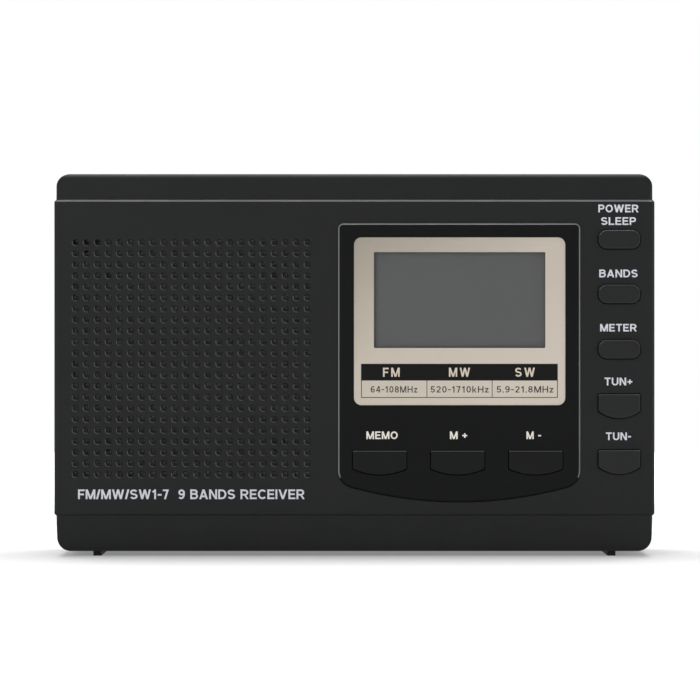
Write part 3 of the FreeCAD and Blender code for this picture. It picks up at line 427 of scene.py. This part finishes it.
# Each letter: its width, then its strokes on a grid one capital high. A "pen" stroke is a line of even
# weight through its points, and a "cut" stroke is a slanted bar whose ends are level.
LETTERS = {
    "A": (0.84, ("cut", (0.1, 0), (0.42, 1)), ("cut", (0.74, 0), (0.42, 1)),
          ("pen", (0.2, 0.29), (0.64, 0.29))),
    "B": (0.74, STEM,
          ("pen", (0.09, 0.91), (0.4, 0.91), *sweep(0.42, 0.725, 0.19, 0.185, 90, -90), (0.09, 0.54)),
          ("pen", (0.09, 0.54), (0.42, 0.54), *sweep(0.43, 0.315, 0.22, 0.225, 90, -90), (0.09, 0.09))),
    "C": (0.8, ("pen", *sweep(0.43, 0.5, 0.34, 0.41, 42, 318))),
    "D": (0.78, STEM,
          ("pen", (0.09, 0.91), (0.33, 0.91), *sweep(0.35, 0.5, 0.34, 0.41, 90, -90), (0.09, 0.09))),
    "E": (0.66, STEM, *[("pen", (0.09, y), (x, y)) for x, y in ((0.64, 0.91), (0.6, 0.51), (0.66, 0.09))]),
    "F": (0.62, STEM, *[("pen", (0.09, y), (x, y)) for x, y in ((0.62, 0.91), (0.55, 0.49))]),
    "H": (0.76, STEM, ("pen", (0.67, 0), (0.67, 1)), ("pen", (0.09, 0.51), (0.67, 0.51))),
    "I": (0.18, STEM),
    "L": (0.62, STEM, ("pen", (0.09, 0.09), (0.62, 0.09))),
    "M": (0.92, STEM, ("pen", (0.83, 0), (0.83, 1)),
          ("cut", (0.11, 1), (0.46, 0)), ("cut", (0.81, 1), (0.46, 0))),
    "N": (0.76, STEM, ("pen", (0.67, 0), (0.67, 1)), ("cut", (0.1, 1), (0.66, 0))),
    "O": (0.86, ("pen", *sweep(0.43, 0.5, 0.34, 0.41, 0, 360))),
    "P": (0.7, STEM,
          ("pen", (0.09, 0.91), (0.38, 0.91), *sweep(0.4, 0.68, 0.22, 0.23, 90, -90), (0.09, 0.45))),
    "R": (0.78, STEM,
          ("pen", (0.09, 0.91), (0.4, 0.91), *sweep(0.42, 0.685, 0.23, 0.225, 90, -90), (0.09, 0.46)),
          ("cut", (0.4, 0.48), (0.68, 0))),
    "S": (0.72, ("pen", *sweep(0.36, 0.71, 0.26, 0.2, 22, 250), *sweep(0.36, 0.295, 0.27, 0.205, 70, -158))),
    "T": (0.7, ("pen", (0, 0.91), (0.7, 0.91)), ("pen", (0.35, 0), (0.35, 1))),
    "U": (0.76, ("pen", (0.09, 1), (0.09, 0.4), *sweep(0.38, 0.36, 0.29, 0.27, 180, 360), (0.67, 1))),
    "V": (0.84, ("cut", (0.1, 1), (0.42, 0)), ("cut", (0.74, 1), (0.42, 0))),
    "W": (1.16, *[("cut", (top, 1), (foot, 0))
                  for top, foot in ((0.1, 0.33), (0.58, 0.33), (0.58, 0.83), (1.06, 0.83))]),
    "k": (0.6, STEM, ("cut", (0.2, 0.3), (0.47, 0.72)), ("cut", (0.26, 0.42), (0.5, 0))),
    "z": (0.52, ("pen", (0.02, 0.63), (0.5, 0.63)), ("pen", (0, 0.09), (0.52, 0.09)),
          ("cut", (0.11, 0.1), (0.41, 0.62))),
    "0": (0.62, ("pen", *sweep(0.31, 0.5, 0.22, 0.41, 0, 360))),
    "1": (0.44, ("pen", (0.29, 0), (0.29, 1)), ("pen", (0.05, 0.72), (0.27, 0.88))),
    "2": (0.62, ("pen", *sweep(0.31, 0.69, 0.215, 0.22, 170, -30), (0.12, 0.12)),
          ("pen", (0.05, 0.09), (0.58, 0.09))),
    "3": (0.62, ("pen", *sweep(0.3, 0.715, 0.2, 0.195, 150, -85), *sweep(0.3, 0.3, 0.225, 0.21, 85, -155))),
    "4": (0.66, ("pen", (0.46, 0), (0.46, 1)), ("cut", (0.1, 0.3), (0.42, 1)),
          ("pen", (0.02, 0.29), (0.64, 0.29))),
    "5": (0.62, ("pen", (0.56, 0.91), (0.17, 0.91), (0.13, 0.5),
                 *sweep(0.3, 0.325, 0.225, 0.235, 110, -155))),
    "6": (0.62, *SIX),
    "7": (0.58, ("pen", (0.02, 0.91), (0.56, 0.91)), ("cut", (0.47, 0.92), (0.22, 0))),
    "8": (0.62, ("pen", *sweep(0.31, 0.715, 0.19, 0.195, 0, 360)),
          ("pen", *sweep(0.31, 0.3, 0.22, 0.21, 0, 360))),
    "9": (0.62, *flip(SIX, 0.62)),
    "+": (0.58, ("pen", (0, 0.46), (0.58, 0.46)), ("pen", (0.29, 0.17), (0.29, 0.75))),
    "-": (0.36, ("pen", (0, 0.45), (0.36, 0.45))),
    ".": (0.18, ("pen", (0, 0.09), (0.18, 0.09))),
    "/": (0.34, ("cut", (0.05, 0), (0.29, 1))),
    " ": (0.3,),
}


def rails(kind, points, weight):
    """The two edges of a stroke, as pairs of points."""
    if kind == "cut":
        half = weight * 0.54
        return [((x - half, y), (x + half, y)) for x, y in points]
    pairs = []
    closed = math.dist(points[0], points[-1]) < 1e-6
    last = len(points) - 1
    for i, (x, y) in enumerate(points):
        before = points[i - 1] if i else (points[last - 1] if closed else points[0])
        after = points[i + 1] if i < last else (points[1] if closed else points[last])
        ways = []
        for (ax, ay), (bx, by) in ((before, (x, y)), ((x, y), after)):
            long = math.hypot(bx - ax, by - ay)
            if long > 1e-9:
                ways.append(((bx - ax) / long, (by - ay) / long))
        dx, dy = sum(w[0] for w in ways), sum(w[1] for w in ways)
        long = math.hypot(dx, dy)
        dx, dy = dx / long, dy / long
        reach = weight / 2 / max(0.5, dx * ways[0][0] + dy * ways[0][1])
        pairs.append(((x - dy * reach, y + dx * reach), (x + dy * reach, y - dx * reach)))
    return pairs


def word(text, x, y, z, cap_mm, width_mm, weight=0.18, spacing=0.13, turn=0):
    """A printed word on a surface that faces the front, or is turned about Z by some degrees.

    Its middle is at x and its foot at z, both in mm, on the surface at y, in metres. cap_mm is a capital's
    height, and width_mm the whole width. weight and spacing are shares of a capital's height.
    """
    strips, pen = [], 0.0
    for letter in text:
        width, *strokes = LETTERS[letter]
        for kind, *points in strokes:
            strips.append([[(px + pen, py) for px, py in pair] for pair in rails(kind, points, weight)])
        pen += width + spacing
    total = pen - spacing
    across, up = width_mm * MM / total, cap_mm * MM
    place = Matrix.Translation((x * MM, y, z * MM)) @ Matrix.Rotation(math.radians(turn), 4, "Z")
    bm = bmesh.new()
    for number, strip in enumerate(strips):
        # strokes that cross differ slightly in height, so that no two faces lie in one plane
        front = -INK_THICK * (1 + 0.03 * (number % 4))
        rows = []
        for pair in strip:
            spots = [((px - total / 2) * across, py * up) for px, py in pair]
            corners = [Vector((sx, depth, sz)) for sx, sz in spots for depth in (front, INK_THICK)]
            rows.append([bm.verts.new(place @ corner) for corner in corners])
        for one, two in zip(rows, rows[1:]):
            for i, j in ((0, 2), (2, 3), (3, 1), (1, 0)):
                bm.faces.new((one[i], one[j], two[j], two[i]))
        for end in (rows[0], rows[-1]):
            bm.faces.new((end[0], end[2], end[3], end[1]))
    bmesh.ops.recalc_face_normals(bm, faces=bm.faces)
    mesh = bpy.data.meshes.new("word")
    bm.to_mesh(mesh)
    bm.free()
    return mesh


def slab(x0, x1, z0, z1, y):
    """A thin printed rectangle from x0 to x1 and z0 to z1, in mm, on the surface at y, in metres."""
    mesh = bpy.data.meshes.new("slab")
    bm = bmesh.new()
    bmesh.ops.create_cube(bm, size=1.0)
    size = Matrix.Diagonal(((x1 - x0) * MM, INK_THICK * 2, (z1 - z0) * MM, 1))
    place = Matrix.Translation(((x0 + x1) / 2 * MM, y, (z0 + z1) / 2 * MM))
    bmesh.ops.transform(bm, matrix=place @ size, verts=bm.verts)
    bm.to_mesh(mesh)
    bm.free()
    return mesh


def printed(name, meshes, material):
    """Several marks of one ink, as one piece that rides the case."""
    bm = bmesh.new()
    for mesh in meshes:
        bm.from_mesh(mesh)
        bpy.data.meshes.remove(mesh)
    made = bpy.data.meshes.new(name)
    bm.to_mesh(made)
    bm.free()
    made.materials.append(material)
    piece = bpy.data.objects.new(name, made)
    SCENE.collection.objects.link(piece)
    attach(piece, "case")


def centre(node):
    """The middle of a node's box, in mm."""
    low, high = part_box(node)
    return (low + high) / 2 / MM


def face_marks():
    """The captions above the column of keys, and the long line under the grille."""
    column = 59.75
    cap = 1.75
    marks = [
        word("POWER", column, FACE_Y, 77.95, cap, 9.1),
        word("SLEEP", column, FACE_Y, 75.1, cap, 7.9),
        word("BANDS", column, FACE_Y, 63.25, cap, 8.7),
        word("METER", column, FACE_Y, 51.0, 1.7, 8.3),
        word("TUN+", column, FACE_Y, 38.8, cap, 6.3),
        word("TUN-", column, FACE_Y, 26.4, cap, 5.7),
        word("FM/MW/SW1-7  9 BANDS RECEIVER", -36.9, FACE_Y, 13.05, 2.2, 51.3, 0.17, 0.1),
    ]
    printed("face_lettering", marks, INK_WHITE)


def bezel_marks():
    """The captions above the three memory keys."""
    rows = [
        ("MEMO", "memory_button", 7.1, 0.55),
        ("M +", "memory_up_button", 3.9, 0.2),
        ("M -", "memory_down_button", 3.3, -0.45),
    ]
    marks = []
    for text, key, width, shift in rows:
        marks.append(word(text, centre(key).x + shift, BEZEL_Y, 26.65, 1.74, width))
    printed("bezel_lettering", marks, INK_BEZEL)


def dial_marks():
    """The band table under the window: a dark header over three cells."""
    y = DIAL_LOW.y
    left, right, low, mid, top = 1.5, 46.0, 36.06, 39.89, 43.68
    half = 0.085
    splits = (16.4, 31.15)
    columns = [
        ("FM", 3.8, -0.6, "64-108MHz", 10.6, (left + splits[0]) / 2),
        ("MW", 4.8, 0.0, "520-1710kHz", 13.2, (splits[0] + splits[1]) / 2),
        ("SW", 4.5, 0.0, "5.9-21.8MHz", 12.9, (splits[1] + right) / 2),
    ]
    lines = [slab(left, right, low - half, low + half, y)]
    for x in (left + half, *splits, right - half):
        lines.append(slab(x - half, x + half, low, mid, y))
    heads = []
    for head, head_width, shift, limits, limits_width, middle in columns:
        lines.append(word(limits, middle, y, 37.15, 1.5, limits_width, 0.145, 0.15))
        heads.append(word(head, middle + shift, y - INK_THICK, 40.75, 2.05, head_width, 0.17, 0.26))
    printed("dial_header", [slab(left, right, mid, top, y)], INK_BLACK)
    printed("dial_table", lines, INK_DARK)
    printed("dial_headings", heads, INK_GOLD)


def side_marks():
    """Small captions beside the wheel, the switch and the sockets."""
    left, right = (corner.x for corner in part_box("rear_cover"))
    hold, phones = centre("hold_knob"), centre("phones_jack")
    power, wheel = centre("power_jack"), centre("volume_wheel")
    cap = 1.3
    marks = [
        word("HOLD", left / MM, hold.y * MM, hold.z + 6.0, cap, 4.6, turn=-90),
        word("PHONES", left / MM, phones.y * MM, phones.z + 4.4, cap, 6.4, turn=-90),
        word("3V", left / MM, power.y * MM, power.z - 7.0, cap, 2.0, turn=-90),
        word("VOLUME", right / MM, 2.7 * MM, wheel.z + 13.2, cap, 6.2, turn=90),
    ]
    printed("side_lettering", marks, INK_WHITE)


# ---------------------------------------------------------------- studio
def area(name, location, target, size, energy):
    """A white rectangular light that faces a point."""
    lamp = bpy.data.lights.new(name, "AREA")
    lamp.shape = "RECTANGLE"
    lamp.size, lamp.size_y = size
    lamp.energy = energy
    holder = bpy.data.objects.new(name, lamp)
    holder.location = location
    holder.rotation_euler = (Vector(target) - Vector(location)).to_track_quat("-Z", "Y").to_euler()
    SCENE.collection.objects.link(holder)


def floor_paper():
    """Pale paper with a glow of its own, stronger away from the middle, that meets the white around it."""
    s = Shade("floor_paper", 0.9, specular=0.0)
    s.tint(s.noise(400.0), (0.6, 0.6, 0.6, 1), 0.004)
    s.shader.inputs["Emission Color"].default_value = WHITE
    reach = s.nodes.new("ShaderNodeVectorMath")
    reach.operation = "LENGTH"
    s.links.new(s.place, reach.inputs[0])
    glow = s.nodes.new("ShaderNodeMapRange")
    glow.interpolation_type = "SMOOTHSTEP"
    glow.inputs["From Min"].default_value = 0.12
    glow.inputs["From Max"].default_value = 0.34
    glow.inputs["To Min"].default_value = 0.24
    glow.inputs["To Max"].default_value = 1.0
    s.links.new(reach.outputs["Value"], glow.inputs["Value"])
    s.links.new(glow.outputs["Result"], s.shader.inputs["Emission Strength"])
    return s.material


def round_floor(radius, sides=96):
    """The floor under the object: one flat disc."""
    turns = [math.tau * i / sides for i in range(sides)]
    mesh = bpy.data.meshes.new("floor")
    mesh.from_pydata([(radius * math.cos(t), radius * math.sin(t), 0) for t in turns], [], [range(sides)])
    mesh.materials.append(floor_paper())
    floor = bpy.data.objects.new("floor", mesh)
    SCENE.collection.objects.link(floor)


def surroundings():
    """White to the camera, and a soft even light for everything else."""
    world = bpy.data.worlds.new("studio")
    SCENE.world = world
    world.use_nodes = True
    nodes, links = world.node_tree.nodes, world.node_tree.links
    light = nodes["Background"]
    light.inputs["Color"].default_value = WHITE
    light.inputs["Strength"].default_value = 0.37
    seen = nodes.new("ShaderNodeBackground")
    seen.inputs["Color"].default_value = WHITE
    path = nodes.new("ShaderNodeLightPath")
    mix = nodes.new("ShaderNodeMixShader")
    links.new(path.outputs["Is Camera Ray"], mix.inputs["Fac"])
    links.new(light.outputs["Background"], mix.inputs[1])
    links.new(seen.outputs["Background"], mix.inputs[2])
    links.new(mix.outputs["Shader"], nodes["World Output"].inputs["Surface"])


def studio():
    """The floor, the surroundings, three lights and plain colour management."""
    round_floor(0.62)
    surroundings()
    area("overhead", (0, 0.16, 0.9), (0, 0, 0), (0.7, 0.35), 10.0)
    area("front_left", (-0.7, -1.0, 0.7), (0, 0, 0.04), (0.7, 0.7), 5.7)
    area("right_edge", (0.9, -0.25, 0.2), (0, 0, 0.04), (0.3, 0.5), 1.6)
    SCENE.view_settings.view_transform = "Standard"
    SCENE.view_settings.look = "None"


def camera():
    """Straight at the front, from a little above the middle."""
    distance = 0.6
    seen_width = 158.4 * MM
    aside, height = -1.0 * MM, 46.8 * MM
    data = bpy.data.cameras.new("camera")
    data.lens = data.sensor_width * distance / seen_width
    data.clip_start = 0.01
    eye = bpy.data.objects.new("camera", data)
    eye.location = (aside, FACE_Y - distance, height)
    eye.rotation_euler = (math.radians(90), 0, 0)
    SCENE.collection.objects.link(eye)
    SCENE.camera = eye


paint_nodes()
face_marks()
bezel_marks()
dial_marks()
side_marks()
studio()
camera()
